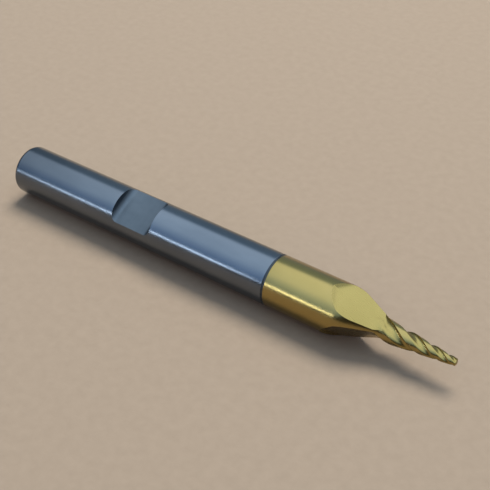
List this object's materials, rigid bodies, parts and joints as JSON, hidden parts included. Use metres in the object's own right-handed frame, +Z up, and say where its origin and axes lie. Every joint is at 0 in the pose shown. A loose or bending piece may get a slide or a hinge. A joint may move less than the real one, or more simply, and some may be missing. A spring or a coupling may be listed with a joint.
{
  "type": "end mill",
  "caption": "Small tapered milling cutter with helical flutes on a coated head, brazed to a round steel shank with a clamping flat.",
  "frame": {"origin": "on the surface that the tool lies on, under the middle of its length and under its axis", "axes": "+X along the tool axis towards the cutting tip, +Z up; the clamping flat faces up and towards -Y"},
  "size_m": [0.0588, 0.006, 0.006],
  "materials": {
    "blued_steel": "ground and steam-blued, satin",
    "nitride_gold": "titanium nitride coating on ground carbide, satin",
    "braze_filler": "dark oxidised filler metal"
  },
  "bodies": {
    "root": {"shank": "blued_steel", "cutting_head": "nitride_gold", "braze_joint": "braze_filler"}
  },
  "joints": []
}
